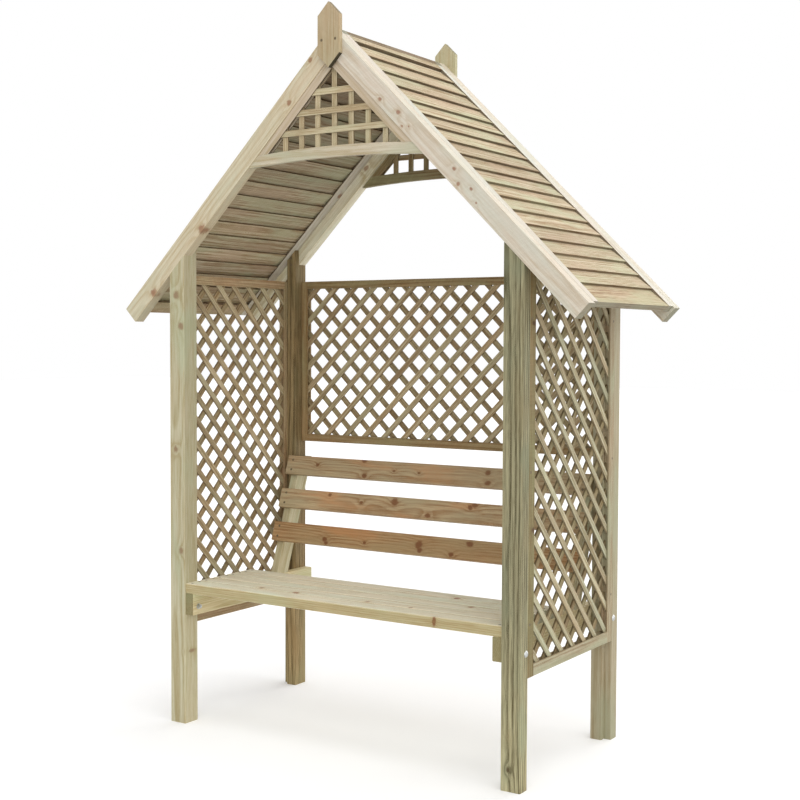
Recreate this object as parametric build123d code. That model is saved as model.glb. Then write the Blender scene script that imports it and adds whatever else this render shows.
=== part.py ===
from build123d import *
from math import asin, atan2, ceil, cos, degrees, floor, radians, sin, sqrt, tan
import os

# A garden arbour seat of softwood: four posts, a steep roof of two slatted panels, trellis gables,
# lattice side and back panels, a bench and a leaning back rest of three slats.
# Millimetres. X runs to the right as seen from the front, Y to the back and Z up.
# The origin is on the ground under the middle of the arbour.

# Overall size and posts
arbour_width = 1302         # over the outer faces of the posts
arbour_depth = 654          # over the front and rear faces of the posts
post_size = 62
rebate_depth = 20           # front to back, of the post rebate that holds a side panel

# Roof
ridge_height = 2196         # where the top edges of a rafter pair meet
roof_span = 1694            # from eave to eave
roof_pitch = 44.5           # degrees from level
rafter_thickness = 40
rafter_depth = 59
roof_rail_width = 44
roof_rail_depth = 22
ledge_width = 12            # of the roof rails, under the board ends
eave_setback = 8            # of the roof panels from the rafter ends
board_thickness = 8
board_recess = 1            # of the boards' lower edges below the tops of the rails
board_lap = 8               # of each board under the one above
lap_ease = 0.3              # planed off where a board is lapped
board_joint = 2             # between a ridge rail and the first board
board_end_gap = 2

# What shows down the right slope: a few wide boards, then boards of one width. An eave rail's width
# is the least it may have, because it also takes up what the boards leave.
right_ridge_rail_width = 46
right_wide_board_showing = 69
right_wide_board_count = 4
right_board_showing = 60
right_eave_rail_width = 74

# What shows down the left slope: boards of one width, then a wide one
left_ridge_rail_width = 70.75
left_board_showing = 58.25
left_last_board_showing = 78
left_eave_rail_width = 38

# Finials
finial_width = 80
finial_height = 194
finial_thickness = 16
finial_rise = 70            # of the tip above the ridge

# Gables
batten_depth = 26
batten_thickness = 20
gable_recess = 5            # of a gable behind the outer faces of its rafters
collar_drop = 352           # from the ridge to the crown of the collar
collar_depth = 33
collar_radius = 3750
gable_upright_pitch = 61.5
gable_level_pitch = 58
gable_first_level = 48.5    # from the crown of the collar to the lowest level lath

# Lattice panels
panel_thickness = 24
side_panel_bottom = 317
side_stile_width = 34
side_bottom_rail_width = 35
side_top_rail_width = 28
back_panel_bottom = 895
back_frame_width = 26       # of the back panel's stiles and rails
lath_width = 18.5
lath_thickness = 6
lattice_rise = 81.4         # between parallel laths, up a stile
side_lattice_run = 77.8     # between parallel laths, along a rail
back_lattice_run = 82.4
left_rising_start = 66.5    # of the first lath, along the bottom rail from the front or the left
left_falling_start = 27.7
right_rising_start = 13.1
right_falling_start = 34.8
back_rising_start = 0
back_falling_start = 38.2
groove_depth = 6            # of the frame grooves that house the lath ends
shortest_lath = 45

# Seat
seat_height = 464
seat_board_thickness = 33
seat_board_width = 65
seat_board_gap = 3
seat_board_count = 5
seat_setback = 5            # of the seat's front edge behind the posts' front faces
bearer_thickness = 31
bearer_depth = 70
bearer_setback = 5          # of the bearer ends from the post faces

# Back rest
back_lean = 19.2            # degrees from upright
support_thickness = 28
support_depth = 60
support_reach = 205.5       # from the rear post faces forward to the front of the supports' feet
slat_width = 68
slat_thickness = 25
slat_pitch = 122
slat_start = 119            # up the supports, from their feet to the lowest slat
slat_overhang = 9           # of the slat ends past the supports
slat_names = ("lower", "middle", "upper")

# Coach bolts
bolt_diameter = 8
bolt_head_diameter = 20
bolt_head_height = 5
bolt_drop = 43              # below the top edge of the bearer
bolt_clearance = 0.5
bolt_end = 4                # of thread past the nut
washer_diameter = 18
washer_thickness = 1.6
nut_width = 13
nut_height = 6.5
thread_clearance = 0.1

# Wood screws
screw_diameter = 4.5
screw_head_diameter = 8.5
screw_head_height = 3
screw_point = 5
screw_clearance = 0.2
hole_overrun = 1
slat_screw_length = 50
slat_screw_spacing = 36
seat_screw_length = 60
seat_screw_spacing = 36
finial_screw_length = 45
finial_screw_spacing = 50
finial_screw_drop = 42      # below the ridge
support_screw_length = 50
support_screw_drops = (25, 65)      # below the tops of the supports
tongue_screw_length = 50
tongue_screw_rises = (18, 42)       # above the underside of the rafter
panel_screw_length = 45
panel_screw_inset = 150     # from the top and bottom of a side panel

# Places worked out from the sizes
pitch = radians(roof_pitch)
lean = radians(back_lean)
half_width = arbour_width / 2
half_depth = arbour_depth / 2
post_inner = half_width - post_size
panel_inner = half_width - panel_thickness
slope_length = roof_span / 2 / cos(pitch)
eave_end = slope_length - eave_setback
rail_outer = half_depth - rafter_thickness
rail_inner = rail_outer - roof_rail_width
ledge_outer = rail_inner + ledge_width
board_seat = board_recess + board_thickness
steepest_tilt = board_thickness / min(right_board_showing, left_board_showing)
ledge_depth = board_seat + board_thickness + board_lap * steepest_tilt
panel_groove = (panel_thickness / 2 - lath_thickness, panel_thickness / 2 + lath_thickness)
gable_front = half_depth - gable_recess
gable_back = gable_front - batten_thickness
gable_middle = (gable_back + gable_front) / 2
collar_crown = ridge_height - collar_drop
bearer_top = seat_height - seat_board_thickness
bolt_height = bearer_top - bolt_drop
bolt_place = half_depth - post_size / 2
support_foot = half_depth - support_reach
support_rise = (support_reach - support_depth / cos(lean)) / tan(lean)
support_top = bearer_top + support_rise

right_slope = Plane(
    origin=(0, 0, ridge_height),
    x_dir=(cos(pitch), 0, -sin(pitch)),
    z_dir=(sin(pitch), 0, cos(pitch)),
)
back_rest = Plane(
    origin=(0, support_foot, bearer_top),
    x_dir=(1, 0, 0),
    z_dir=(0, -cos(lean), sin(lean)),
)


# Basic shapes

def block(x0, x1, y0, y1, z0, z1):
    middle = Pos((x0 + x1) / 2, (y0 + y1) / 2, (z0 + z1) / 2)
    return middle * Box(x1 - x0, y1 - y0, z1 - z0)


def prism_along_y(outline, y0, y1):
    edge = Polyline(*[(x, y0, z) for x, z in outline], close=True)
    return extrude(make_face(edge), amount=y1 - y0, dir=(0, 1, 0))


def prism_along_x(outline, x0, x1):
    edge = Polyline(*[(x0, y, z) for y, z in outline], close=True)
    return extrude(make_face(edge), amount=x1 - x0, dir=(1, 0, 0))


def to_left(shape):
    return mirror(shape, about=Plane.YZ)


def to_front(shape):
    return mirror(shape, about=Plane.XZ)


# Heights and points of the right-hand roof slope

def roof_height(x, depth):
    # Height at x of the plane that lies this deep, square to the slope, below the roof's top.
    return ridge_height - depth / cos(pitch) - x * tan(pitch)


def slope_point(distance, depth):
    # Point down the slope from the ridge, and this deep below the roof's top.
    x = distance * cos(pitch) - depth * sin(pitch)
    z = ridge_height - distance * sin(pitch) - depth * cos(pitch)
    return x, z


def above_slope(depth, x0, x1, y0, y1):
    outline = [
        (x0, roof_height(x0, depth)),
        (x1, roof_height(x1, depth)),
        (x1, ridge_height),
        (x0, ridge_height),
    ]
    return prism_along_y(outline, y0, y1)


# Wood screws: each is a solid, and the timbers it passes through are drilled to suit

def turned(outline, head, direction):
    edge = Polyline(*[(r, 0, z) for r, z in outline], close=True)
    return Plane(origin=head, z_dir=direction) * revolve(make_face(edge), axis=Axis.Z)


def screw_outline(length, clearance):
    shank = screw_diameter / 2 + clearance
    rim = screw_head_diameter / 2 + clearance
    return [(rim, 0), (shank, screw_head_height), (shank, length - screw_point), (0, length + clearance)]


def wood_screw(head, direction, length):
    return turned([(0, 0)] + screw_outline(length, 0), head, direction)


def screw_hole(head, direction, length):
    # Starts outside the timber, so that the cut is clean.
    outline = screw_outline(length, screw_clearance)
    rim = outline[0][0]
    return turned([(0, -hole_overrun), (rim, -hole_overrun)] + outline, head, direction)


def slat_screw_places():
    for row in range(len(slat_names)):
        middle = slat_start + row * slat_pitch + slat_width / 2
        for side in (-1, 1):
            for step in (-1, 1):
                x = side * (post_inner - support_thickness / 2)
                y = middle + step * slat_screw_spacing / 2
                head = back_rest.from_local_coords((x, y, slat_thickness))
                yield head, -back_rest.z_dir, slat_screw_length


def seat_screw_places():
    for row in range(seat_board_count):
        middle = seat_board_front(row) + seat_board_width / 2
        for side in (-1, 1):
            for step in (-1, 1):
                x = side * (post_inner - bearer_thickness / 2)
                y = middle + step * seat_screw_spacing / 2
                yield (x, y, seat_height), (0, 0, -1), seat_screw_length


def finial_screw_places():
    for end in (-1, 1):
        for side in (-1, 1):
            x = side * finial_screw_spacing / 2
            y = end * (half_depth + finial_thickness)
            yield (x, y, ridge_height - finial_screw_drop), (0, -end, 0), finial_screw_length


def support_screw_places():
    for drop in support_screw_drops:
        z = support_top - drop
        rear = half_depth - drop * tan(lean)
        y = (half_depth - post_size + rear) / 2
        for side in (-1, 1):
            x = side * (post_inner - support_thickness)
            yield (x, y, z), (side, 0, 0), support_screw_length


def tongue_screw_places():
    x = (post_inner + panel_inner) / 2
    for rise in tongue_screw_rises:
        z = roof_height(x, rafter_depth) + rise
        for end in (-1, 1):
            for side in (-1, 1):
                y = end * (half_depth - post_size)
                yield (side * x, y, z), (0, end, 0), tongue_screw_length


def panel_screw_places():
    low = side_panel_bottom + panel_screw_inset
    high = panel_top - panel_screw_inset
    for z in (low, (low + high) / 2, high):
        for end in (-1, 1):
            for side in (-1, 1):
                y = end * (half_depth - post_size + rebate_depth / 2)
                yield (side * half_width, y, z), (-side, 0, 0), panel_screw_length


def all_screw_places():
    yield from slat_screw_places()
    yield from seat_screw_places()
    yield from finial_screw_places()
    yield from support_screw_places()
    yield from tongue_screw_places()
    yield from panel_screw_places()


# Coach bolts, made at the back right post and mirrored to the other three

def bolt_plane(distance):
    # Looks inward along the bolt, this far in from the post's outer face.
    return Plane(origin=(half_width - distance, bolt_place, bolt_height), z_dir=(-1, 0, 0))


def at_four_posts(shape):
    right = [shape, to_front(shape)]
    return right + [to_left(each) for each in right]


def coach_bolt():
    rim = bolt_head_diameter / 2
    dome = (rim ** 2 + bolt_head_height ** 2) / (2 * bolt_head_height)
    half_turn = asin(rim / dome) / 2
    on_dome = (dome * sin(half_turn), 0, dome * (1 - cos(half_turn)) - bolt_head_height)
    length = bolt_grip + washer_thickness + nut_height + bolt_end
    shank = bolt_diameter / 2
    crown = (0, 0, -bolt_head_height)
    arc = ThreePointArc(crown, on_dome, (rim, 0, 0))
    rest = Polyline((rim, 0, 0), (shank, 0, 0), (shank, 0, length), (0, 0, length), crown)
    return bolt_plane(0) * revolve(make_face([arc, rest]), axis=Axis.Z)


def bolt_washer():
    ring = Circle(washer_diameter / 2) - Circle(bolt_diameter / 2 + bolt_clearance)
    return bolt_plane(bolt_grip) * extrude(ring, amount=washer_thickness)


def bolt_nut():
    outline = RegularPolygon(nut_width / 2, 6, major_radius=False)
    ring = outline - Circle(bolt_diameter / 2 + thread_clearance)
    return bolt_plane(bolt_grip + washer_thickness) * extrude(ring, amount=nut_height)


def bolt_hole():
    return bolt_plane(0) * extrude(Circle(bolt_diameter / 2 + bolt_clearance), amount=bolt_grip)


# Drilling

def boxes_meet(first, second):
    a = first.bounding_box()
    b = second.bounding_box()
    apart_x = a.max.X < b.min.X or b.max.X < a.min.X
    apart_y = a.max.Y < b.min.Y or b.max.Y < a.min.Y
    apart_z = a.max.Z < b.min.Z or b.max.Z < a.min.Z
    return not (apart_x or apart_y or apart_z)


def drilled(timber):
    for hole in holes:
        if boxes_meet(timber, hole):
            timber -= hole
    return timber


# Posts and rafters, made at the back right corner

def post():
    front = half_depth - post_size
    rear = half_depth
    tongue_rear = half_depth - rafter_thickness
    timber = block(post_inner, half_width, front, rear, 0, roof_height(post_inner, roof_rail_depth))
    timber -= above_slope(roof_rail_depth, post_inner, half_width, front, rear)
    timber -= above_slope(rafter_depth, post_inner, half_width, tongue_rear, rear)
    timber -= above_slope(rafter_depth, panel_inner, half_width, front, rear)
    timber -= block(panel_inner, half_width, front, front + rebate_depth, 0, ridge_height)
    return timber


def rafter():
    outline = [
        (0, roof_height(0, 0)),
        slope_point(slope_length, 0),
        slope_point(slope_length, rafter_depth),
        (0, roof_height(0, rafter_depth)),
    ]
    return prism_along_y(outline, half_depth - rafter_thickness, half_depth)


def finial():
    half = finial_width / 2
    tip = ridge_height + finial_rise
    foot = tip - finial_height
    outline = [
        (0, tip),
        (half, tip - half),
        (half, foot + half),
        (0, foot),
        (-half, foot + half),
        (-half, tip - half),
    ]
    return prism_along_y(outline, half_depth, half_depth + finial_thickness)


# Roof panels, made on the right slope. At the ridge one panel runs through to the other slope's top
# and the other one butts under it.

def ridge_end(runs_through):
    lap = roof_rail_depth / sin(2 * pitch)
    x, z = slope_point(lap, 0)
    if runs_through:
        return [(-x, z), (0, ridge_height)]
    return [(0, roof_height(0, roof_rail_depth)), (x, z)]


def rail_strip(runs_through, end, y0, y1):
    outline = ridge_end(runs_through)
    outline.append(slope_point(end, 0))
    outline.append(slope_point(end, roof_rail_depth))
    return prism_along_y(outline, y0, y1)


def ledge_zone(y0, y1, top, bottom):
    spare = roof_rail_depth
    return right_slope * block(-spare, slope_length + spare, y0, y1, -bottom, -top)


def roof_side_rail(runs_through):
    rail = rail_strip(runs_through, eave_end, rail_inner, rail_outer)
    return rail - ledge_zone(rail_inner, ledge_outer, -roof_rail_depth, ledge_depth)


def lapped_on_ledges(rail):
    below = 2 * roof_rail_depth
    rail -= ledge_zone(rail_inner, ledge_outer, ledge_depth, below)
    rail -= ledge_zone(-ledge_outer, -rail_inner, ledge_depth, below)
    return rail


def ridge_rail(runs_through, width):
    return lapped_on_ledges(rail_strip(runs_through, width, -ledge_outer, ledge_outer))


# Roof boards are lapped: each one's lower edge lies on the board below, and its upper edge on the
# ledges. The lines are the lower edges of the ridge rail, of each board and of the eave rail.

def board_lines(ridge_rail_width, first, showing, last, eave_rail_width):
    lines = [ridge_rail_width]
    for width in first:
        lines.append(lines[-1] + width)
    while lines[-1] + showing + sum(last) + eave_rail_width <= eave_end:
        lines.append(lines[-1] + showing)
    for width in last:
        lines.append(lines[-1] + width)
    return lines + [eave_end]


def right_board_lines():
    wide = [right_wide_board_showing] * right_wide_board_count
    return board_lines(right_ridge_rail_width, wide, right_board_showing, [], right_eave_rail_width)


def left_board_lines():
    last = [left_last_board_showing]
    return board_lines(left_ridge_rail_width, [], left_board_showing, last, left_eave_rail_width)


def tilt(lines, row):
    return board_thickness / (lines[row + 1] - lines[row])


def lapped_top(lines, row):
    # Upper face of a lapped piece, from its tucked edge to its lower edge.
    steepest = max(tilt(lines, row), tilt(lines, row - 1))
    tucked = board_seat + board_lap * steepest + lap_ease
    return [
        (lines[row] - board_lap, tucked),
        (lines[row], board_seat),
        (lines[row + 1], board_recess),
    ]


def across_roof(outline, reach):
    return prism_along_y([slope_point(*point) for point in outline], -reach, reach)


def first_board(lines):
    start = lines[0] + board_joint
    return [
        (start, ledge_depth - board_thickness),
        (lines[1], board_recess),
        (lines[1], board_seat),
        (start, ledge_depth),
    ]


def lapped_board(lines, row):
    foot = board_seat + board_thickness + board_lap * tilt(lines, row)
    return lapped_top(lines, row) + [(lines[row + 1], board_seat), (lines[row] - board_lap, foot)]


def roof_boards(lines):
    outlines = [first_board(lines)]
    for row in range(1, len(lines) - 2):
        outlines.append(lapped_board(lines, row))
    return [across_roof(outline, ledge_outer - board_end_gap) for outline in outlines]


def eave_rail(lines):
    outline = lapped_top(lines, len(lines) - 2)
    outline.append((eave_end, roof_rail_depth))
    outline.append((lines[-2] - board_lap, roof_rail_depth))
    return lapped_on_ledges(across_roof(outline, ledge_outer))


# Gables, made at the back

def below_arch(crown, y0, y1):
    # Everything below an arch with this crown, out to the eaves.
    reach = roof_span / 2
    spring = crown - collar_radius + sqrt(collar_radius ** 2 - reach ** 2)
    arc = ThreePointArc((-reach, y0, spring), (0, y0, crown), (reach, y0, spring))
    rest = Polyline((reach, y0, spring), (reach, y0, 0), (-reach, y0, 0), (-reach, y0, spring))
    return extrude(make_face([arc, rest]), amount=y1 - y0, dir=(0, 1, 0))


def under_roof(depth, y0, y1):
    reach = roof_span / 2
    foot = roof_height(reach, depth)
    return prism_along_y([(0, roof_height(0, depth)), (reach, foot), (-reach, foot)], y0, y1)


def gable_collar():
    band = below_arch(collar_crown, gable_back, gable_front)
    band -= below_arch(collar_crown - collar_depth, gable_back, gable_front)
    return band & under_roof(rafter_depth, gable_back, gable_front)


def gable_batten():
    outline = [
        (0, roof_height(0, rafter_depth)),
        slope_point(slope_length, rafter_depth),
        slope_point(slope_length, rafter_depth + batten_depth),
        (0, roof_height(0, rafter_depth + batten_depth)),
    ]
    batten = prism_along_y(outline, gable_back, gable_front)
    batten -= lath_space(gable_middle - lath_thickness, gable_middle + lath_thickness)
    return batten - below_arch(collar_crown, gable_back, gable_front)


def lath_space(y0, y1):
    return under_roof(rafter_depth + batten_depth - groove_depth, y0, y1)


def gable_laths():
    height = roof_height(0, rafter_depth + batten_depth) - collar_crown
    half = lath_width / 2
    inner = gable_middle - lath_thickness
    outer = gable_middle + lath_thickness
    laths = []
    each_side = floor(height / tan(pitch) / gable_upright_pitch)
    for place in range(-each_side, each_side + 1):
        x = place * gable_upright_pitch
        lath = block(x - half, x + half, inner, gable_middle, 0, ridge_height)
        lath &= lath_space(inner, gable_middle)
        laths.append(lath - below_arch(collar_crown, inner, gable_middle))
    room = height - gable_first_level - shortest_lath / 2 * tan(pitch)
    for level in range(floor(room / gable_level_pitch) + 1):
        z = collar_crown + gable_first_level + level * gable_level_pitch
        lath = block(-roof_span, roof_span, gable_middle, outer, z - half, z + half)
        laths.append(lath & lath_space(gable_middle, outer))
    return laths


# Lattice panels, made flat: x along the opening, y up from its lower edge and z through the panel

def lattice_layer(width, height, run, start, rising, z0):
    opening = block(
        -groove_depth, width + groove_depth,
        -groove_depth, height + groove_depth,
        z0, z0 + lath_thickness,
    )
    shift = run / lattice_rise if rising else -run / lattice_rise
    drift = height * shift
    first = ceil((min(0, -drift) - start) / run)
    last = floor((width + max(0, -drift) - start) / run)
    slant = degrees(atan2(1, shift))
    laths = []
    for row in range(first, last + 1):
        foot = start + row * run
        ends = sorted((-foot / shift, (width - foot) / shift))
        low = max(0, ends[0])
        high = min(height, ends[1])
        if (high - low) * sqrt(1 + shift ** 2) < shortest_lath:
            continue
        middle = (low + high) / 2
        place = Pos(foot + middle * shift, middle, z0 + lath_thickness / 2) * Rot(0, 0, slant)
        laths.append(place * Box(2 * (width + height), lath_width, lath_thickness) & opening)
    return laths


def panel_stile(outer, inner, low, high):
    # The groove is on the inner edge.
    stile = block(min(outer, inner), max(outer, inner), low, high, 0, panel_thickness)
    into = inner + groove_depth if outer > inner else inner - groove_depth
    return stile - block(min(inner, into), max(inner, into), low, high, *panel_groove)


def panel_rail(width, outer, inner):
    # Stub tenons at both ends fit the grooves of the stiles.
    rail = block(0, width, min(outer, inner), max(outer, inner), 0, panel_thickness)
    ends = (-groove_depth, width + groove_depth)
    rail += block(*ends, min(outer, inner), max(outer, inner), *panel_groove)
    into = inner + groove_depth if outer > inner else inner - groove_depth
    return rail - block(*ends, min(inner, into), max(inner, into), *panel_groove)


def panel_frame(width, height, stile_width, bottom_width, top_width):
    low = -bottom_width
    high = height + top_width
    return {
        "first_stile": panel_stile(-stile_width, 0, low, high),
        "last_stile": panel_stile(width + stile_width, width, low, high),
        "bottom_rail": panel_rail(width, low, 0),
        "top_rail": panel_rail(width, high, height),
    }


def name_panel(panel, plane, pieces, first_stile, last_stile, near_laths, far_laths):
    nodes[f"{panel}_{first_stile}_stile"] = drilled(plane * pieces["first_stile"])
    nodes[f"{panel}_{last_stile}_stile"] = drilled(plane * pieces["last_stile"])
    nodes[f"{panel}_bottom_rail"] = plane * pieces["bottom_rail"]
    nodes[f"{panel}_top_rail"] = plane * pieces["top_rail"]
    nodes[f"{panel}_{near_laths}_laths"] = [plane * lath for lath in pieces["near_laths"]]
    nodes[f"{panel}_{far_laths}_laths"] = [plane * lath for lath in pieces["far_laths"]]


def side_panel(x, rising_start, falling_start):
    # Stands on this x, with its own z to the right.
    reach = half_depth - post_size + rebate_depth
    width = 2 * (reach - side_stile_width)
    foot = side_panel_bottom + side_bottom_rail_width
    height = panel_top - side_top_rail_width - foot
    pieces = panel_frame(width, height, side_stile_width, side_bottom_rail_width, side_top_rail_width)
    near = panel_groove[0]
    middle = panel_thickness / 2
    pieces["near_laths"] = lattice_layer(width, height, side_lattice_run, rising_start, True, near)
    pieces["far_laths"] = lattice_layer(width, height, side_lattice_run, falling_start, False, middle)
    plane = Plane(origin=(x, side_stile_width - reach, foot), x_dir=(0, 1, 0), z_dir=(1, 0, 0))
    return plane, pieces


def back_panel():
    # Its own z points to the front.
    width = 2 * (post_inner - back_frame_width)
    foot = back_panel_bottom + back_frame_width
    height = panel_top - back_frame_width - foot
    pieces = panel_frame(width, height, back_frame_width, back_frame_width, back_frame_width)
    near = panel_groove[0]
    middle = panel_thickness / 2
    pieces["near_laths"] = lattice_layer(width, height, back_lattice_run, back_falling_start, False, near)
    pieces["far_laths"] = lattice_layer(width, height, back_lattice_run, back_rising_start, True, middle)
    plane = Plane(origin=(-width / 2, half_depth, foot), x_dir=(1, 0, 0), z_dir=(0, -1, 0))
    return plane, pieces


# Seat and back rest

def seat_board_front(row):
    return seat_setback - half_depth + row * (seat_board_width + seat_board_gap)


def seat_board(row):
    front = seat_board_front(row)
    return block(-post_inner, post_inner, front, front + seat_board_width, bearer_top, seat_height)


def seat_bearer():
    reach = half_depth - bearer_setback
    inner = post_inner - bearer_thickness
    return block(inner, post_inner, -reach, reach, bearer_top - bearer_depth, bearer_top)


def back_support():
    shift = support_rise * tan(lean)
    across = support_depth / cos(lean)
    outline = [
        (support_foot, bearer_top),
        (support_foot + across, bearer_top),
        (support_foot + across + shift, support_top),
        (support_foot + shift, support_top),
    ]
    return prism_along_x(outline, post_inner - support_thickness, post_inner)


def back_slat(row):
    reach = post_inner + slat_overhang
    low = slat_start + row * slat_pitch
    return back_rest * block(-reach, reach, low, low + slat_width, 0, slat_thickness)


# Everything that is worked out once for the whole arbour
panel_top = roof_height(half_width, rafter_depth)
bolt_grip = post_size + bearer_thickness
screw_places = list(all_screw_places())
holes = [screw_hole(*place) for place in screw_places]
holes += at_four_posts(bolt_hole())
nodes = {}

# Corners: posts, rafters and roof side rails
back_right_post = post()
back_right_rafter = rafter()
for across in ("right", "left"):
    side_rail = roof_side_rail(runs_through=across == "left")
    for along in ("back", "front"):
        corner = {"post": back_right_post, "rafter": back_right_rafter, "roof_rail": side_rail}
        for name, timber in corner.items():
            if across == "left":
                timber = to_left(timber)
            if along == "front":
                timber = to_front(timber)
            nodes[f"{along}_{across}_{name}"] = drilled(timber)

# The rest of the roof
right_lines = right_board_lines()
left_lines = left_board_lines()
nodes["right_ridge_rail"] = ridge_rail(False, right_ridge_rail_width)
nodes["left_ridge_rail"] = to_left(ridge_rail(True, left_ridge_rail_width))
nodes["right_eave_rail"] = eave_rail(right_lines)
nodes["left_eave_rail"] = to_left(eave_rail(left_lines))
nodes["right_roof_boards"] = roof_boards(right_lines)
nodes["left_roof_boards"] = [to_left(board) for board in roof_boards(left_lines)]

# Finials and gables
nodes["back_finial"] = drilled(finial())
nodes["front_finial"] = drilled(to_front(finial()))
nodes["back_gable_collar"] = gable_collar()
nodes["front_gable_collar"] = to_front(gable_collar())
back_battens = [gable_batten(), to_left(gable_batten())]
nodes["back_gable_battens"] = back_battens
nodes["front_gable_battens"] = [to_front(batten) for batten in back_battens]
nodes["back_gable_laths"] = gable_laths()
nodes["front_gable_laths"] = [to_front(lath) for lath in gable_laths()]

# Lattice panels
left_panel = side_panel(-half_width, left_rising_start, left_falling_start)
right_panel = side_panel(panel_inner, right_rising_start, right_falling_start)
name_panel("left_panel", *left_panel, "front", "back", "outer", "inner")
name_panel("right_panel", *right_panel, "front", "back", "inner", "outer")
name_panel("back_panel", *back_panel(), "left", "right", "rear", "front")

# Seat and back rest
for row in range(seat_board_count):
    nodes[f"seat_board_{row + 1}"] = drilled(seat_board(row))
nodes["right_seat_bearer"] = drilled(seat_bearer())
nodes["left_seat_bearer"] = drilled(to_left(seat_bearer()))
nodes["right_back_support"] = drilled(back_support())
nodes["left_back_support"] = drilled(to_left(back_support()))
for row, name in enumerate(slat_names):
    nodes[f"{name}_back_slat"] = drilled(back_slat(row))

# Fasteners
nodes["coach_bolts"] = at_four_posts(coach_bolt())
nodes["bolt_nuts_and_washers"] = at_four_posts(bolt_washer()) + at_four_posts(bolt_nut())
nodes["wood_screws"] = [wood_screw(*place) for place in screw_places]

# One file for each node, with repeated pieces as separate solids
os.makedirs("parts", exist_ok=True)
for name, shape in nodes.items():
    if isinstance(shape, list):
        shape = Compound(children=shape)
    export_step(shape, f"parts/{name}.step")
print(len(nodes), "nodes written")
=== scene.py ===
import math
import bmesh
import bpy
from mathutils import Matrix, Vector
from mathutils.kdtree import KDTree


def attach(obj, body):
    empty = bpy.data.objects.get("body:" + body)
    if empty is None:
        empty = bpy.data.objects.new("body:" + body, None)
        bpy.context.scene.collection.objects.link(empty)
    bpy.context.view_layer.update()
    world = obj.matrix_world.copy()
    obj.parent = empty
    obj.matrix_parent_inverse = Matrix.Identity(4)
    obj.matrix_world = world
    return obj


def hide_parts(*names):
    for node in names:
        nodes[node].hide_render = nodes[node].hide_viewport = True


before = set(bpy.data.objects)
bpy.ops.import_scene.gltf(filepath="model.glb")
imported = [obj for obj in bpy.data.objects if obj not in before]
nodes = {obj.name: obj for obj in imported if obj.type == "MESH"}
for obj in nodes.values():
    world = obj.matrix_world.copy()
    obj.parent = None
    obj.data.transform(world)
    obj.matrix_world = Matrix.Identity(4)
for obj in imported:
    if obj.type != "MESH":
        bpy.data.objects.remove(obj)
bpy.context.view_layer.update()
scene = bpy.context.scene
print("frame loaded:", len(nodes), "CAD nodes")


# camera, at the photograph's viewing angle
camera = {
    "place": (2.3672, -3.5870, 1.2592),
    "yaw": 33.02,
    "pitch": -2.516,
    "roll": 0.2106,
    "focalPixels": 1336.35,  # over an image 800 pixels wide
    "imagePixels": 800,
    "sensor": 36.0,
}


def addCamera():
    data = bpy.data.cameras.new("viewCamera")
    data.sensor_width = camera["sensor"]
    data.lens = camera["focalPixels"] * camera["sensor"] / camera["imagePixels"]
    data.dof.use_dof = False
    item = bpy.data.objects.new("viewCamera", data)
    turn = Matrix.Rotation(math.radians(camera["yaw"]), 4, "Z")
    turn = turn @ Matrix.Rotation(math.radians(90 + camera["pitch"]), 4, "X")
    turn = turn @ Matrix.Rotation(math.radians(camera["roll"]), 4, "Z")
    item.matrix_world = Matrix.Translation(camera["place"]) @ turn
    scene.collection.objects.link(item)
    scene.camera = item


# small helpers for node trees
def shade(red, green, blue):  # a screen colour, 0 to 255, as Blender's linear colour
    def linear(part):
        part = part / 255
        return part / 12.92 if part <= 0.04045 else ((part + 0.055) / 1.055) ** 2.4
    return (linear(red), linear(green), linear(blue), 1.0)


def feed(tree, socket, value):  # a link where the value is a socket, else a plain value
    if isinstance(value, bpy.types.NodeSocket):
        tree.links.new(value, socket)
    else:
        socket.default_value = value


def maths(tree, operation, *values, clamp=False):
    node = tree.nodes.new("ShaderNodeMath")
    node.operation = operation
    node.use_clamp = clamp
    for socket, value in zip(node.inputs, values):
        feed(tree, socket, value)
    return node.outputs[0]


def vectors(tree, operation, *values):
    node = tree.nodes.new("ShaderNodeVectorMath")
    node.operation = operation
    for socket, value in zip(node.inputs, values):
        feed(tree, socket, value)
    return node.outputs["Value" if operation == "LENGTH" else "Vector"]


def softStep(tree, value, low, high, lowTo=0.0, highTo=1.0):
    node = tree.nodes.new("ShaderNodeMapRange")
    node.interpolation_type = "SMOOTHSTEP"
    feed(tree, node.inputs["Value"], value)
    node.inputs["From Min"].default_value = low
    node.inputs["From Max"].default_value = high
    node.inputs["To Min"].default_value = lowTo
    node.inputs["To Max"].default_value = highTo
    return node.outputs["Result"]


def mixColours(tree, factor, first, second):
    node = tree.nodes.new("ShaderNodeMix")
    node.data_type = "RGBA"
    feed(tree, node.inputs["Factor"], factor)
    feed(tree, node.inputs[6], first)
    feed(tree, node.inputs[7], second)
    return node.outputs[2]


def parts(tree, vector):  # the three parts of a vector or colour
    node = tree.nodes.new("ShaderNodeSeparateXYZ")
    feed(tree, node.inputs[0], vector)
    return node.outputs


def noiseAt(tree, place, scale, detail=2.0, roughness=0.5):
    node = tree.nodes.new("ShaderNodeTexNoise")
    feed(tree, node.inputs["Vector"], vectors(tree, "MULTIPLY", place, scale))
    node.inputs["Scale"].default_value = 1.0
    node.inputs["Detail"].default_value = detail
    node.inputs["Roughness"].default_value = roughness
    return node


def attributeOf(tree, name):
    node = tree.nodes.new("ShaderNodeAttribute")
    node.attribute_name = name
    return node


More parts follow.
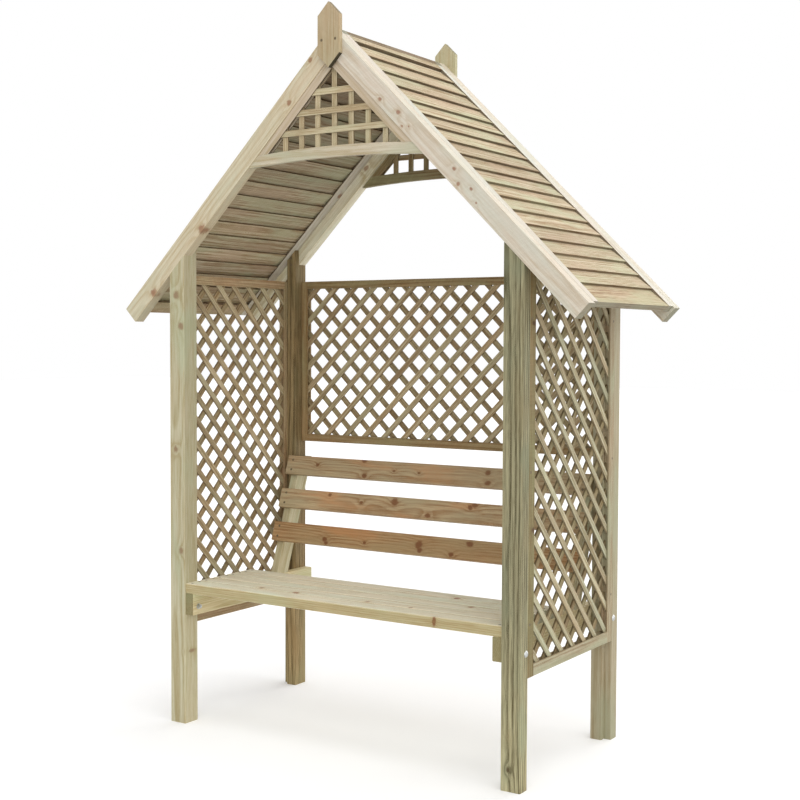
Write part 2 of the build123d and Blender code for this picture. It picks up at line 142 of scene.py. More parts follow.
# softwood as a solid: rings round a pith, fibres and knots, read in each board's own
# coordinates, x along the grain, y across the width and z through the thickness, in metres
softwood = {
    "inputs": (
        ("Grain", "NodeSocketVector"),
        ("Board", "NodeSocketFloat"),
        ("Knot Distance", "NodeSocketFloat"),
        ("Ring Spacing", "NodeSocketFloat"),
        ("Knot Size", "NodeSocketFloat"),
    ),
    "outputs": (
        ("Late", "NodeSocketFloat"),
        ("Fibre", "NodeSocketFloat"),
        ("Patch", "NodeSocketFloat"),
        ("Knot", "NodeSocketFloat"),
        ("Halo", "NodeSocketFloat"),
        ("Tone", "NodeSocketFloat"),
        ("Saw", "NodeSocketFloat"),
    ),
    "boardSeed": 917.0,
    "boardShift": (41.7, 13.3, 23.9),  # from one board to another within the noise
    "wander": {"scale": (1.1, 5.0, 5.0)},
    "wanderWidth": 0.022,
    "pithSide": 0.09,
    "pithDepth": (0.03, 0.11),
    "ringDarkens": (0.3, 0.85),  # shares of a year's ring
    "ringEnds": (0.88, 1.0),
    "ringPush": 2.2,  # rings that a knot pushes aside
    "ringHair": 0.35,
    "knotCells": (2.1, 6.5, 6.5),
    "bareCells": 0.62,  # the share of cells with only the smallest knot
    "smallestKnot": 0.02,
    "knotStretch": (0.75, 1.0, 0.5),
    "knotRough": {"scale": (60.0, 90.0, 90.0)},
    "knotRoughness": 1.2,
    "knotEdge": (0.5, 1.15),  # in knot radii
    "haloFade": 0.75,
    "fibre": {"scale": (6.0, 190.0, 190.0), "detail": 3.0, "roughness": 0.6},
    "hair": {"scale": (22.0, 850.0, 850.0), "detail": 1.0},
    "hairShare": 0.4,
    "patch": {"scale": (3.2, 12.0, 12.0), "detail": 3.0, "roughness": 0.55},
    "saw": {"scale": (190.0, 16.0, 16.0), "roughness": 0.6},
    "sawSlant": 0.55,
}


def knotDistance(group, place, entry):  # in knot radii, to the nearest knot: some cells hold one
    cells = group.nodes.new("ShaderNodeTexVoronoi")
    cells.inputs["Scale"].default_value = 1.0
    cellPlace = vectors(group, "MULTIPLY", place, softwood["knotCells"])
    feed(group, cells.inputs["Vector"], cellPlace)
    away = vectors(group, "SUBTRACT", cells.outputs["Position"], cellPlace)
    shape = [stretch / cell for stretch, cell in zip(softwood["knotStretch"], softwood["knotCells"])]
    away = vectors(group, "MULTIPLY", away, shape)
    chance = parts(group, cells.outputs["Color"])[0]
    size = softStep(group, chance, softwood["bareCells"], 1.0, softwood["smallestKnot"], 1.0)
    size = maths(group, "MULTIPLY", size, entry["Knot Size"])
    distance = maths(group, "DIVIDE", vectors(group, "LENGTH", away), size)
    distance = maths(group, "MINIMUM", distance, entry["Knot Distance"])
    rough = noiseAt(group, place, **softwood["knotRough"]).outputs["Fac"]
    rough = maths(group, "SUBTRACT", rough, 0.5)
    return maths(group, "MULTIPLY_ADD", rough, softwood["knotRoughness"], distance)


def latewood(group, place, entry, own, halo, hair):  # rings round a pith that wanders along the board
    wander = noiseAt(group, place, **softwood["wander"])
    bend = vectors(group, "SUBTRACT", wander.outputs["Color"], (0.5, 0.5, 0.5))
    bend = vectors(group, "MULTIPLY", bend, (0.0, softwood["wanderWidth"], softwood["wanderWidth"]))
    low, high = softwood["pithDepth"]
    pith = group.nodes.new("ShaderNodeCombineXYZ")
    side = maths(group, "SUBTRACT", own[0], 0.5)
    feed(group, pith.inputs[1], maths(group, "MULTIPLY", side, softwood["pithSide"]))
    feed(group, pith.inputs[2], maths(group, "MULTIPLY_ADD", own[1], high - low, low))
    section = vectors(group, "MULTIPLY", vectors(group, "ADD", entry["Grain"], bend), (0.0, 1.0, 1.0))
    radius = vectors(group, "LENGTH", vectors(group, "SUBTRACT", section, pith.outputs[0]))
    count = maths(group, "DIVIDE", radius, entry["Ring Spacing"])
    count = maths(group, "MULTIPLY_ADD", halo, softwood["ringPush"], count)
    count = maths(group, "MULTIPLY_ADD", hair, softwood["ringHair"], count)
    ring = maths(group, "FRACT", count)
    ends = softStep(group, ring, *softwood["ringEnds"], 1.0, 0.0)
    return maths(group, "MULTIPLY", softStep(group, ring, *softwood["ringDarkens"]), ends)


def sawMarks(group, place, board):  # they cross the board at a slant
    slanted = group.nodes.new("ShaderNodeVectorMath")
    slanted.operation = "DOT_PRODUCT"
    feed(group, slanted.inputs[0], place)
    slanted.inputs[1].default_value = (1.0, softwood["sawSlant"], 0.0)
    sawPlace = group.nodes.new("ShaderNodeCombineXYZ")
    feed(group, sawPlace.inputs[0], slanted.outputs["Value"])
    feed(group, sawPlace.inputs[1], board)
    return noiseAt(group, sawPlace.outputs[0], **softwood["saw"]).outputs["Fac"]


def makeSoftwood():
    group = bpy.data.node_groups.new("softwood", "ShaderNodeTree")
    for name, kind in softwood["inputs"]:
        group.interface.new_socket(name=name, in_out="INPUT", socket_type=kind)
    for name, kind in softwood["outputs"]:
        group.interface.new_socket(name=name, in_out="OUTPUT", socket_type=kind)
    entry = group.nodes.new("NodeGroupInput").outputs
    result = group.nodes.new("NodeGroupOutput").inputs

    chance = group.nodes.new("ShaderNodeTexWhiteNoise")  # three numbers of the board's own
    chance.noise_dimensions = "1D"
    feed(group, chance.inputs["W"], maths(group, "MULTIPLY", entry["Board"], softwood["boardSeed"]))
    own = parts(group, chance.outputs["Color"])
    shift = vectors(group, "MULTIPLY", chance.outputs["Color"], softwood["boardShift"])
    place = vectors(group, "ADD", entry["Grain"], shift)

    distance = knotDistance(group, place, entry)
    halo = maths(group, "EXPONENT", maths(group, "MULTIPLY", distance, -softwood["haloFade"]))
    hair = noiseAt(group, place, **softwood["hair"]).outputs["Fac"]
    fibre = noiseAt(group, place, **softwood["fibre"]).outputs["Fac"]
    fibre = maths(group, "MULTIPLY", fibre, 1.0 - softwood["hairShare"])
    fibre = maths(group, "MULTIPLY_ADD", hair, softwood["hairShare"], fibre)
    feed(group, result["Late"], latewood(group, place, entry, own, halo, hair))
    feed(group, result["Fibre"], fibre)
    feed(group, result["Patch"], noiseAt(group, place, **softwood["patch"]).outputs["Fac"])
    feed(group, result["Knot"], softStep(group, distance, *softwood["knotEdge"], 1.0, 0.0))
    feed(group, result["Halo"], halo)
    feed(group, result["Tone"], own[2])
    feed(group, result["Saw"], sawMarks(group, place, entry["Board"]))
    return group


# finishes of the timber
plainFinish = {
    "saw": 0.0, "edgeStain": (1.0, 1.0, 1.0), "endStain": (0.45, 0.45, 0.38), "underShade": 0.0,
    "footLift": 0.0,
}
looks = {
    "planed": {
        **plainFinish, "early": shade(226, 216, 180), "late": shade(188, 168, 120),
        "tint": shade(204, 206, 166), "blush": shade(220, 202, 164), "knot": shade(164, 130, 98),
        "ringSpacing": 0.0052, "grain": 0.6, "fibre": 0.55, "tintShare": 0.6, "blushShare": 0.5,
        "toneSpread": 0.04, "knotSize": 0.004, "roughness": 0.62,
    },
    "weathered": {
        **plainFinish, "early": shade(192, 188, 158), "late": shade(96, 90, 64),
        "tint": shade(150, 156, 132), "blush": shade(160, 148, 116), "knot": shade(82, 66, 48),
        "ringSpacing": 0.0072, "grain": 0.7, "fibre": 0.6, "tintShare": 0.7, "blushShare": 0.5,
        # painted light: posts with this finish are drawn much paler towards the foot
        "toneSpread": 0.04, "knotSize": 0.003, "roughness": 0.7, "footLift": 0.5,
    },
    "rafter": {
        **plainFinish, "early": shade(232, 218, 194), "late": shade(206, 182, 148),
        "tint": shade(216, 213, 189), "blush": shade(231, 207, 181), "knot": shade(158, 108, 80),
        "ringSpacing": 0.0056, "grain": 0.5, "fibre": 0.6, "tintShare": 0.5, "blushShare": 0.55,
        "toneSpread": 0.03, "knotSize": 0.003, "roughness": 0.6, "saw": 0.1,
    },
    # roof boards: the lapped lower edges are darkened partly by dirt and partly as painted shade
    "roof": {
        **plainFinish, "early": shade(216, 194, 160), "late": shade(160, 126, 90),
        "tint": shade(198, 190, 152), "blush": shade(200, 166, 136), "knot": shade(104, 66, 42),
        "ringSpacing": 0.0060, "grain": 0.65, "fibre": 0.7, "tintShare": 0.7, "blushShare": 0.6,
        "toneSpread": 0.08, "knotSize": 0.007, "roughness": 0.75, "saw": 0.3,
        # painted shade: the roof's downward faces darken towards the ridge
        "edgeStain": (0.42, 0.38, 0.34), "endStain": (0.45, 0.42, 0.36), "underShade": 0.36,
    },
    "panel": {
        **plainFinish, "early": shade(212, 192, 152), "late": shade(164, 132, 90),
        "tint": shade(196, 190, 148), "blush": shade(204, 166, 124), "knot": shade(116, 70, 44),
        "ringSpacing": 0.0046, "grain": 0.65, "fibre": 0.7, "tintShare": 0.6, "blushShare": 0.6,
        "toneSpread": 0.08, "knotSize": 0.006, "roughness": 0.68, "saw": 0.25,
        "edgeStain": (0.8, 0.78, 0.75),
    },
    "lath": {
        **plainFinish, "early": shade(220, 200, 158), "late": shade(164, 134, 92),
        "tint": shade(200, 192, 150), "blush": shade(206, 172, 130), "knot": shade(112, 70, 44),
        "ringSpacing": 0.0042, "grain": 0.6, "fibre": 0.8, "tintShare": 0.45, "blushShare": 0.5,
        "toneSpread": 0.12, "knotSize": 0.005, "roughness": 0.7, "saw": 0.2,
        "edgeStain": (0.58, 0.55, 0.52),
    },
    "seat": {
        **plainFinish, "early": shade(234, 222, 194), "late": shade(202, 176, 134),
        "tint": shade(220, 215, 183), "blush": shade(234, 212, 178), "knot": shade(146, 84, 50),
        "ringSpacing": 0.0052, "grain": 0.6, "fibre": 0.65, "tintShare": 0.6, "blushShare": 0.6,
        # the seat boards' edges are yellowed, and darkened as painted shade
        "toneSpread": 0.05, "knotSize": 0.004, "roughness": 0.58, "edgeStain": (0.56, 0.49, 0.34),
    },
    "slat": {
        **plainFinish, "early": shade(204, 178, 140), "late": shade(156, 118, 80),
        "tint": shade(182, 166, 132), "blush": shade(206, 152, 106), "knot": shade(122, 72, 42),
        "ringSpacing": 0.0056, "grain": 0.6, "fibre": 0.65, "tintShare": 0.6, "blushShare": 0.7,
        "toneSpread": 0.03, "knotSize": 0.006, "roughness": 0.6, "edgeStain": (0.9, 0.88, 0.85),
    },
}
# painted light: this post is drawn a little paler towards the foot
looks["post"] = {**looks["planed"], "footLift": 0.1}
# painted shade: the battens' sides are drawn dark
looks["batten"] = {**looks["planed"], "edgeStain": (0.3, 0.27, 0.22)}
looks["eave"] = {**looks["roof"], "edgeStain": (0.59, 0.60, 0.66)}
# painted shade: the rails' sides beside the boards are drawn dark
looks["rail"] = {**looks["rafter"], "edgeStain": (0.34, 0.30, 0.24)}
looks["gableLath"] = {**looks["lath"], "saw": 0.0, "toneSpread": 0.06}
# painted shadow: the finial's downward faces are drawn darker
looks["finial"] = {**looks["rafter"], "underShade": 0.75}

# what all the finishes share
finish = {
    "paintedShadeHeights": (1.6, 2.0),  # heights over which painted shade on the downward faces deepens towards the ridge
    "paintedLightHeights": (0.05, 0.6),  # heights over which painted light from the floor pales a post towards its foot
    "farAway": 50.0,  # for a board with no knot placed on it, in knot radii
    "knotStretch": (0.8, 1.0, 0.35),
    "streak": (0.40, 0.62),  # the range of noise over which it changes, as in the next four
    "tintPatch": (0.48, 0.66),
    "blushPatch": (0.34, 0.48),
    "sawLines": (0.40, 0.60),
    "sheenFibre": (0.3, 0.7),
    "sheenSpread": (-0.06, 0.1),  # added to the roughness
    "haloDark": 0.6,
    "knotFade": 0.4,
    "knotCover": 0.85,
    "sawDark": 0.35,
    # painted highlight: the eased arrises are drawn this much lighter
    "arrisHighlight": 0.1,
    "specular": 0.3,
    "ringHeight": 0.35,
    "sawHeight": 1.5,
    "bumpStrength": 0.4,
    "bumpDepth": 0.0008,
}


def darkened(tree, tone, amount, share):
    return maths(tree, "MULTIPLY", tone, maths(tree, "MULTIPLY_ADD", share, -amount, 1.0))


def nearestKnot(tree, grain, knots):  # in knot radii, to the knots at their own places on the board
    nearest = finish["farAway"]
    for *middle, size in knots:
        away = vectors(tree, "SUBTRACT", grain, middle)
        away = vectors(tree, "MULTIPLY", away, [stretch / size for stretch in finish["knotStretch"]])
        nearest = maths(tree, "MINIMUM", vectors(tree, "LENGTH", away), nearest)
    return nearest


def woodColour(tree, seen, look):
    streak = maths(tree, "MULTIPLY", softStep(tree, seen["Fibre"], *finish["streak"]), look["fibre"])
    dark = maths(tree, "MULTIPLY_ADD", seen["Late"], look["grain"], streak)
    dark = maths(tree, "MULTIPLY_ADD", seen["Halo"], finish["haloDark"], dark, clamp=True)
    colour = mixColours(tree, dark, look["early"], look["late"])
    tinted = softStep(tree, seen["Patch"], *finish["tintPatch"], 0.0, look["tintShare"])
    colour = mixColours(tree, tinted, colour, look["tint"])
    blushed = softStep(tree, seen["Patch"], *finish["blushPatch"], look["blushShare"], 0.0)
    colour = mixColours(tree, blushed, colour, look["blush"])
    fading = mixColours(tree, finish["knotFade"], look["knot"], look["late"])
    heart = mixColours(tree, streak, look["knot"], fading)
    covered = maths(tree, "MULTIPLY", seen["Knot"], finish["knotCover"])
    colour = mixColours(tree, covered, colour, heart)
    # side edges take a colour that is stain in some finishes and painted shade in others; end grain takes
    # its own darker stain
    for layer, stainAndShade in (("boardEdge", look["edgeStain"]), ("endGrain", look["endStain"])):
        stainedAndShaded = vectors(tree, "MULTIPLY", colour, stainAndShade)
        colour = mixColours(tree, attributeOf(tree, layer).outputs["Fac"], colour, stainedAndShaded)
    return colour


def woodTone(tree, seen, look):  # how bright the wood is from board to board and place to place, with painted shade, painted highlight and painted light laid on
    spread = look["toneSpread"]
    tone = softStep(tree, seen["Tone"], 0.0, 1.0, 1 - spread, 1 + spread)
    sawn = softStep(tree, seen["Saw"], *finish["sawLines"])
    tone = darkened(tree, tone, finish["sawDark"] * look["saw"], sawn)
    # painted highlight on the eased arrises
    tone = darkened(tree, tone, -finish["arrisHighlight"], attributeOf(tree, "arris").outputs["Fac"])
    height = parts(tree, tree.nodes.new("ShaderNodeTexCoord").outputs["Object"])[2]
    high = softStep(tree, height, *finish["paintedShadeHeights"])
    # painted shade: downward faces darken, more towards the ridge
    under = maths(tree, "MULTIPLY", attributeOf(tree, "underside").outputs["Fac"], high)
    tone = darkened(tree, tone, look["underShade"], under)
    # painted light: paler towards the foot, standing in for light thrown up from the floor
    low = softStep(tree, height, *finish["paintedLightHeights"], 1.0, 0.0)
    return darkened(tree, tone, -look["footLift"], low)


def woodRelief(tree, seen, look):
    height = maths(tree, "MULTIPLY_ADD", seen["Late"], finish["ringHeight"], seen["Fibre"])
    height = maths(tree, "MULTIPLY_ADD", seen["Saw"], finish["sawHeight"] * look["saw"], height)
    bump = tree.nodes.new("ShaderNodeBump")
    bump.inputs["Strength"].default_value = finish["bumpStrength"]
    bump.inputs["Distance"].default_value = finish["bumpDepth"]
    feed(tree, bump.inputs["Height"], height)
    return bump.outputs["Normal"]


def makeTimber(name, look, stain, woodGroup, knots=()):
    material = bpy.data.materials.new(name)
    material.use_nodes = True
    tree = material.node_tree
    shader = tree.nodes["Principled BSDF"]
    grain = attributeOf(tree, "grain").outputs["Vector"]
    wood = tree.nodes.new("ShaderNodeGroup")
    wood.node_tree = woodGroup
    feed(tree, wood.inputs["Grain"], grain)
    feed(tree, wood.inputs["Board"], attributeOf(tree, "board").outputs["Fac"])
    feed(tree, wood.inputs["Knot Distance"], nearestKnot(tree, grain, knots))
    wood.inputs["Ring Spacing"].default_value = look["ringSpacing"]
    wood.inputs["Knot Size"].default_value = look["knotSize"]
    seen = wood.outputs

    tone = woodTone(tree, seen, look)
    bright = tree.nodes.new("ShaderNodeCombineXYZ")
    for socket in bright.inputs:
        feed(tree, socket, tone)
    colour = vectors(tree, "MULTIPLY", woodColour(tree, seen, look), stain)
    colour = vectors(tree, "MULTIPLY", colour, bright.outputs[0])
    feed(tree, shader.inputs["Base Color"], colour)
    sheen = [look["roughness"] + change for change in finish["sheenSpread"]]
    feed(tree, shader.inputs["Roughness"], softStep(tree, seen["Fibre"], *finish["sheenFibre"], *sheen))
    shader.inputs["Specular IOR Level"].default_value = finish["specular"]
    feed(tree, shader.inputs["Normal"], woodRelief(tree, seen, look))
    return material


# timber pieces: each CAD piece with its long arrises eased, and each board's own grain coordinates
timber = {
    "weld": 0.00001,
    "flat": math.radians(0.6),
    "sharp": math.radians(25),
    "alongGrain": 0.9,  # the least cosine between a long arris and the grain
    "besideGrain": 0.2,  # the most between a side's normal and the grain
    "facing": 0.69,  # the cosine from which a face counts as facing a direction
    "shortestEdge": 0.012,
    "goldenStep": 0.6180339,  # spreads the boards' numbers evenly from 0 to 1
}
boardsMade = [0]


def solidsOf(mesh):  # the faces of each closed solid, which follow one another in the mesh
    places = KDTree(len(mesh.vertices))
    for vert in mesh.vertices:
        places.insert(vert.co, vert.index)
    places.balance()
    first = [min(found[1] for found in places.find_range(vert.co, timber["weld"])) for vert in mesh.vertices]
    openEdges = set()
    solid = []
    for polygon in mesh.polygons:
        corners = [first[index] for index in polygon.vertices]
        if len(set(corners)) < len(corners):
            continue
        solid.append(corners)
        for here, there in zip(corners, corners[1:] + corners[:1]):
            if (there, here) in openEdges:
                openEdges.remove((there, here))
            else:
                openEdges.add((here, there))
        if not openEdges:
            yield solid
            solid = []


def boardOf(mesh, solid):
    bm = bmesh.new()
    verts = {}
    for corners in solid:
        for corner in corners:
            if corner not in verts:
                verts[corner] = bm.verts.new(mesh.vertices[corner].co)
        bm.faces.new([verts[corner] for corner in corners])
    bm.normal_update()
    bmesh.ops.dissolve_limit(bm, angle_limit=timber["flat"], verts=bm.verts, edges=bm.edges)
    bm.edges.index_update()
    bm.faces.index_update()
    return bm


def positive(direction):  # turned so that its largest part is above zero
    largest = max(direction, key=abs)
    return direction if largest > 0 else -direction


def boardFrame(bm, level):
    longest = max(bm.edges, key=lambda edge: (round(edge.calc_length(), 6), -edge.index))
    along = (longest.verts[1].co - longest.verts[0].co).normalized()
    if level:
        along = Vector((1, 0, 0))
    along = positive(along)
    beside = [face for face in bm.faces if abs(face.normal.dot(along)) < timber["besideGrain"]]
    widest = max(beside, key=lambda face: (round(face.calc_area(), 7), -face.index))
    through = positive((widest.normal - along * widest.normal.dot(along)).normalized())
    across = through.cross(along)
    middle = []
    for axis in (along, across, through):
        reach = [vert.co.dot(axis) for vert in bm.verts]
        middle.append((min(reach) + max(reach)) / 2)
    return (along, across, through), middle


def longArrises(bm, along):  # the sharp outer edges that run with the grain
    found = []
    for edge in bm.edges:
        direction = (edge.verts[1].co - edge.verts[0].co).normalized()
        if edge.calc_length() < timber["shortestEdge"] or not edge.is_convex:
            continue
        if abs(direction.dot(along)) < timber["alongGrain"]:
            continue
        if edge.calc_face_angle() > timber["sharp"]:
            found.append(edge)
    return found


def easeBoard(bm, arris, level):
    axes, middle = boardFrame(bm, level)
    eased = longArrises(bm, axes[0])
    grainLayer = bm.verts.layers.float_vector.new("grain")
    boardLayer = bm.verts.layers.float.new("board")
    arrisLayer = bm.faces.layers.float.new("arris")
    endLayer = bm.faces.layers.float.new("endGrain")
    edgeLayer = bm.faces.layers.float.new("boardEdge")
    underLayer = bm.faces.layers.float.new("underside")
    made = bmesh.ops.bevel(
        bm, geom=eased, offset=arris, offset_type="OFFSET", segments=2, profile=0.5,
        affect="EDGES", clamp_overlap=True, material=-1,
    )
    for face in made["faces"]:
        face[arrisLayer] = 1.0
    bm.normal_update()
    boardsMade[0] += 1
    board = boardsMade[0] * timber["goldenStep"] % 1
    for vert in bm.verts:
        vert[grainLayer] = [vert.co.dot(axis) - mid for axis, mid in zip(axes, middle)]
        vert[boardLayer] = board
    for face in bm.faces:
        face[endLayer] = float(abs(face.normal.dot(axes[0])) > timber["facing"])
        face[edgeLayer] = float(abs(face.normal.dot(axes[1])) > timber["facing"])
        face[underLayer] = float(face.normal.z < -timber["facing"])


def easeTimber(name, arris, level=False):
    whole = bmesh.new()
    mesh = bpy.data.meshes.new(name + "_timber")
    for solid in solidsOf(nodes[name].data):
        bm = boardOf(nodes[name].data, solid)
        easeBoard(bm, arris, level)
        bm.to_mesh(mesh)
        bm.free()
        whole.from_mesh(mesh)
    whole.to_mesh(mesh)
    whole.free()
    piece = bpy.data.objects.new(name + "_timber", mesh)
    scene.collection.objects.link(piece)
    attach(piece, "root")
    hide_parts(name)
    return piece


# finish, stain and easing of each family of pieces
families = (
    {"names": ("front_left_post",), "look": "post", "stain": (0.74, 0.77, 0.81), "arris": 0.002},
    {"names": ("front_right_post",), "look": "weathered", "stain": (0.73, 0.70, 0.61), "arris": 0.002},
    {"names": ("back_left_post",), "look": "weathered", "stain": (0.73, 0.56, 0.40), "arris": 0.002},
    {"names": ("back_right_post",), "look": "planed", "stain": (0.57, 0.57, 0.60), "arris": 0.002},
    {"names": ("front_left_rafter",), "look": "rafter", "stain": (0.78, 0.81, 0.77), "arris": 0.0015},
    {"names": ("front_right_rafter",), "look": "rafter", "stain": (0.85, 0.90, 0.99), "arris": 0.0015},
    # painted light: stained paler than the other rafters for the strong light it takes from behind
    {"names": ("back_left_rafter",), "look": "planed", "stain": (1.12, 1.21, 1.48), "arris": 0.0015},
    {"names": ("back_right_rafter",), "look": "rafter", "stain": (0.84, 0.90, 0.97), "arris": 0.0015},
    {"names": ("front_left_roof_rail", "front_right_roof_rail", "back_left_roof_rail",
               "back_right_roof_rail"), "look": "rail", "stain": (0.83, 0.91, 1.04), "arris": 0.0015},
    {"names": ("left_roof_boards", "right_roof_boards", "left_ridge_rail", "right_ridge_rail"),
     "look": "roof", "stain": (0.91, 1.01, 1.06), "arris": 0.001},
    {"names": ("left_eave_rail", "right_eave_rail"), "look": "eave", "stain": (0.95, 0.98, 0.99),
     "arris": 0.001},
    {"names": ("front_finial",), "look": "finial", "stain": (0.63, 0.60, 0.50), "arris": 0.0012},
    {"names": ("back_finial",), "look": "finial", "stain": (0.68, 0.73, 0.62), "arris": 0.0012},
    {"names": ("front_gable_collar",), "look": "planed", "stain": (0.78, 0.78, 0.91), "arris": 0.001},
    {"names": ("front_gable_battens",), "look": "batten", "stain": (0.79, 0.76, 0.88), "arris": 0.001},
    {"names": ("back_gable_collar", "back_gable_battens", "back_gable_laths"), "look": "panel",
     "stain": (0.59, 0.62, 0.58), "arris": 0.001},
    {"names": ("front_gable_laths",), "look": "gableLath", "stain": (0.90, 0.98, 1.10), "arris": 0.0008},
    # painted shade: each lattice's far layer, seen through the near one, is stained darker
    {"names": ("left_panel_inner_laths",), "look": "lath", "stain": (0.84, 0.89, 0.98), "arris": 0.0008},
    {"names": ("left_panel_outer_laths",), "look": "lath", "stain": (0.66, 0.65, 0.63), "arris": 0.0008},
    {"names": ("back_panel_front_laths",), "look": "lath", "stain": (0.74, 0.77, 0.81), "arris": 0.0008},
    {"names": ("back_panel_rear_laths",), "look": "lath", "stain": (0.53, 0.53, 0.51), "arris": 0.0008},
    {"names": ("right_panel_outer_laths",), "look": "lath", "stain": (0.79, 0.92, 1.06), "arris": 0.0008},
    {"names": ("right_panel_inner_laths",), "look": "lath", "stain": (0.44, 0.45, 0.41), "arris": 0.0008},
    {"names": ("left_panel_front_stile", "left_panel_back_stile", "left_panel_bottom_rail",
               "left_panel_top_rail"), "look": "panel", "stain": (0.79, 0.75, 0.75), "arris": 0.001},
    {"names": ("back_panel_left_stile", "back_panel_right_stile", "back_panel_bottom_rail",
               "back_panel_top_rail"), "look": "panel", "stain": (0.59, 0.56, 0.48), "arris": 0.001},
    {"names": ("right_panel_bottom_rail", "right_panel_top_rail", "right_panel_back_stile"),
     "look": "panel", "stain": (0.75, 0.83, 0.94), "arris": 0.001},
    {"names": ("right_panel_front_stile",), "look": "panel", "stain": (0.50, 0.54, 0.44), "arris": 0.001},
    {"names": ("seat_board_1", "seat_board_2", "seat_board_3", "seat_board_4", "seat_board_5"),
     "look": "seat", "stain": (1.13, 1.27, 1.44), "arris": 0.004},
    {"names": ("left_seat_bearer", "right_seat_bearer"), "look": "planed", "stain": (0.93, 0.91, 0.85),
     "arris": 0.0015},
    {"names": ("left_back_support", "right_back_support"), "look": "planed", "stain": (0.73, 0.75, 0.76),
     "arris": 0.0015},
    {"names": ("lower_back_slat",), "look": "slat", "stain": (0.80, 0.73, 0.62), "arris": 0.0025},
    {"names": ("middle_back_slat",), "look": "slat", "stain": (0.91, 0.96, 0.97), "arris": 0.0025},
    {"names": ("upper_back_slat",), "look": "slat", "stain": (0.83, 0.88, 0.89), "arris": 0.0025},
)

# knots that stand out: place along, across and through the board, and size, in metres
knots = {
    "front_left_rafter": ((-0.179, 0.024, -0.020, 0.015), (-0.467, 0.020, -0.020, 0.013),
                          (0.332, 0.010, -0.020, 0.009), (0.473, -0.020, -0.020, 0.008)),
    "front_right_rafter": ((-0.306, 0.013, -0.020, 0.006), (-0.231, 0.0, -0.020, 0.008),
                           (-0.192, 0.020, -0.020, 0.004), (-0.174, 0.006, -0.020, 0.004),
                           (0.026, -0.008, -0.020, 0.006), (0.067, 0.014, -0.020, 0.006),
                           (0.108, -0.004, -0.020, 0.005), (0.148, 0.013, -0.020, 0.004)),
    "back_left_rafter": ((0.148, 0.001, -0.020, 0.010),),
    "back_left_roof_rail": ((0.006, 0.013, -0.011, 0.011),),
    "front_left_post": ((0.614, -0.003, -0.031, 0.012), (0.513, 0.018, -0.031, 0.012),
                        (0.111, -0.006, -0.031, 0.010), (-0.223, 0.015, -0.031, 0.010),
                        (-0.556, 0.031, 0.005, 0.006)),
    "front_right_post": ((-0.731, -0.007, -0.031, 0.006),),
    "right_panel_front_stile": ((-0.164, 0.010, 0.012, 0.007), (0.416, 0.010, 0.012, 0.007)),
    "seat_board_1": ((0.365, -0.032, 0.005, 0.006),),
    "seat_board_2": ((-0.192, -0.027, 0.016, 0.011), (-0.334, -0.022, 0.016, 0.008),
                     (0.079, -0.022, 0.016, 0.009), (0.236, -0.024, 0.016, 0.007)),
    "seat_board_3": ((0.381, 0.017, 0.016, 0.009),),
    "seat_board_5": ((0.277, -0.026, 0.016, 0.010),),
    "upper_back_slat": ((-0.265, -0.030, -0.012, 0.010), (-0.254, 0.022, -0.012, 0.009),
                        (-0.463, -0.004, -0.012, 0.007), (-0.136, -0.001, -0.012, 0.005),
                        (-0.035, 0.0, -0.012, 0.005), (0.229, -0.017, -0.012, 0.011),
                        (0.236, 0.018, -0.012, 0.010)),
    "middle_back_slat": ((-0.383, -0.022, -0.012, 0.007), (-0.109, -0.016, -0.012, 0.014),
                         (-0.246, -0.003, -0.012, 0.007), (0.185, -0.018, -0.012, 0.009),
                         (0.202, -0.026, -0.012, 0.011), (0.029, 0.021, -0.012, 0.009)),
    "lower_back_slat": ((-0.368, 0.013, -0.012, 0.009), (-0.359, 0.026, -0.012, 0.008),
                        (0.017, 0.0, -0.012, 0.015), (0.024, 0.016, -0.012, 0.010),
                        (0.145, 0.021, -0.012, 0.009), (0.208, -0.020, -0.012, 0.012),
                        (-0.200, 0.011, -0.012, 0.005)),
}


def dressTimber():
    woodGroup = makeSoftwood()
    for family in families:
        look = looks[family["look"]]
        for name in family["names"]:
            piece = easeTimber(name, family["arris"], level="collar" in name)
            material = makeTimber(name + "_wood", look, family["stain"], woodGroup, knots.get(name, ()))
            piece.data.materials.append(material)
        print("timber:", len(family["names"]), "pieces with the", family["look"], "finish,",
              boardsMade[0], "boards so far")


# fasteners: zinc plated bolts and dull coated screws
metals = {
    "zinc_plate": {
        "names": ("coach_bolts", "bolt_nuts_and_washers"), "bright": shade(206, 208, 206),
        "dull": shade(150, 152, 150), "metallic": 1.0, "roughness": (0.25, 0.45),
    },
    "dull_coating": {
        "names": ("wood_screws",), "bright": shade(122, 108, 82), "dull": shade(84, 72, 52),
        "metallic": 0.3, "roughness": (0.5, 0.7),
    },
}
spangle = {
    "cloud": {"scale": (420.0, 420.0, 420.0), "detail": 3.0, "roughness": 0.6},
    "dulls": (0.35, 0.7),
    "roughens": (0.3, 0.7),
}


def dressFasteners():
    for title, metal in metals.items():
        material = bpy.data.materials.new(title)
        material.use_nodes = True
        tree = material.node_tree
        shader = tree.nodes["Principled BSDF"]
        place = tree.nodes.new("ShaderNodeTexCoord").outputs["Object"]
        cloud = noiseAt(tree, place, **spangle["cloud"]).outputs["Fac"]
        share = softStep(tree, cloud, *spangle["dulls"])
        feed(tree, shader.inputs["Base Color"], mixColours(tree, share, metal["bright"], metal["dull"]))
        rough = softStep(tree, cloud, *spangle["roughens"], *metal["roughness"])
        feed(tree, shader.inputs["Roughness"], rough)
        shader.inputs["Metallic"].default_value = metal["metallic"]
        for name in metal["names"]:
            nodes[name].material_slots[0].material = material
    print("fasteners: zinc plate and dull coating")


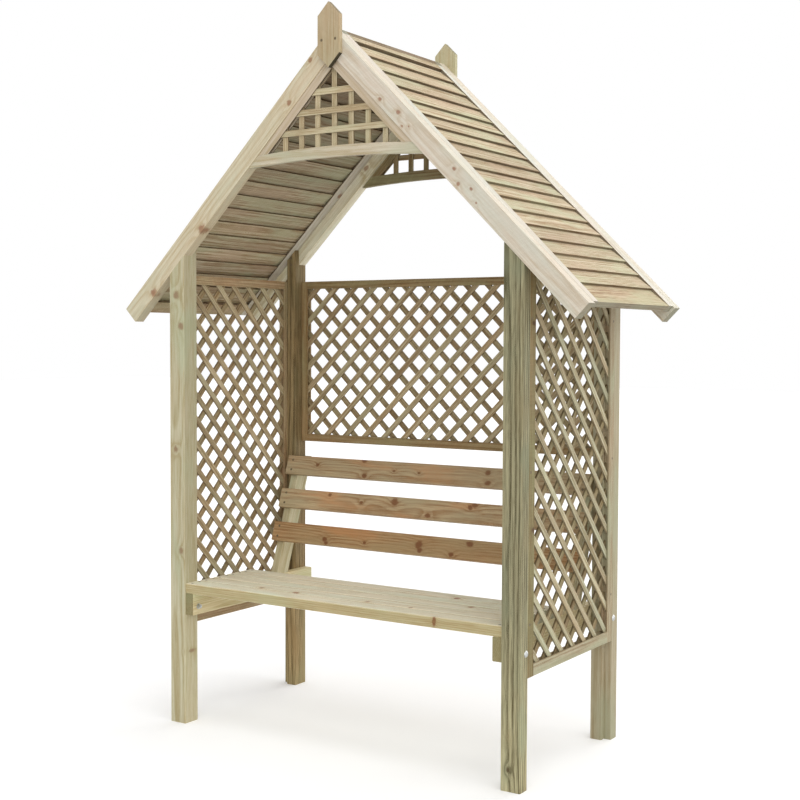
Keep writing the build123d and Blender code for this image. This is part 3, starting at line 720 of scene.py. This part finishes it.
# floor, world and lamps
studio = {
    "floorSize": 60.0,
    "floorColour": (0.85, 0.85, 0.85, 1.0),
    "floorLift": 0.2,
    "skyLight": 0.52,
    "lamps": (  # where the light comes from, its strength and how soft it is, in degrees
        ("topLamp", (0.15, 0.1, 1.0), 1.1, 50),
        ("backLamp", (0.1, 1.0, 0.3), 1.2, 50),
        ("sideLamp", (1.0, -0.1, 0.3), 0.6, 50),
        ("frontLamp", (0.5, -0.8, 0.45), 1.05, 60),
    ),
}


def seenRays(tree):  # rays that show the background: seen straight, in gloss or through glass
    path = tree.nodes.new("ShaderNodeLightPath").outputs
    either = maths(tree, "MAXIMUM", path["Is Camera Ray"], path["Is Glossy Ray"])
    return maths(tree, "MAXIMUM", either, path["Is Transmission Ray"])


def addSky():
    world = bpy.data.worlds.new("studio")
    scene.world = world
    world.use_nodes = True
    tree = world.node_tree
    sky = tree.nodes["Background"]
    sky.inputs["Color"].default_value = (1.0, 1.0, 1.0, 1.0)
    light = maths(tree, "MULTIPLY_ADD", seenRays(tree), 1.0 - studio["skyLight"], studio["skyLight"])
    feed(tree, sky.inputs["Strength"], light)


def addFloor():
    bm = bmesh.new()
    bmesh.ops.create_grid(bm, x_segments=1, y_segments=1, size=studio["floorSize"] / 2)
    mesh = bpy.data.meshes.new("floor")
    bm.to_mesh(mesh)
    bm.free()
    floor = bpy.data.objects.new("floor", mesh)
    scene.collection.objects.link(floor)
    material = bpy.data.materials.new("pale_floor")
    material.use_nodes = True
    tree = material.node_tree
    shader = tree.nodes["Principled BSDF"]
    shader.inputs["Base Color"].default_value = studio["floorColour"]
    shader.inputs["Roughness"].default_value = 1.0
    shader.inputs["Specular IOR Level"].default_value = 0.0
    shader.inputs["Emission Color"].default_value = (1.0, 1.0, 1.0, 1.0)
    lift = maths(tree, "MULTIPLY", seenRays(tree), studio["floorLift"])
    feed(tree, shader.inputs["Emission Strength"], lift)
    mesh.materials.append(material)


def addLamps():
    for name, source, strength, softness in studio["lamps"]:
        data = bpy.data.lights.new(name, "SUN")
        data.energy = strength
        data.angle = math.radians(softness)
        lamp = bpy.data.objects.new(name, data)
        lamp.rotation_euler = Vector(source).to_track_quat("Z", "Y").to_euler()
        scene.collection.objects.link(lamp)


addCamera()
dressTimber()
dressFasteners()
addSky()
addFloor()
addLamps()
scene.view_settings.view_transform = "Standard"
print("studio: floor, sky and lamps")
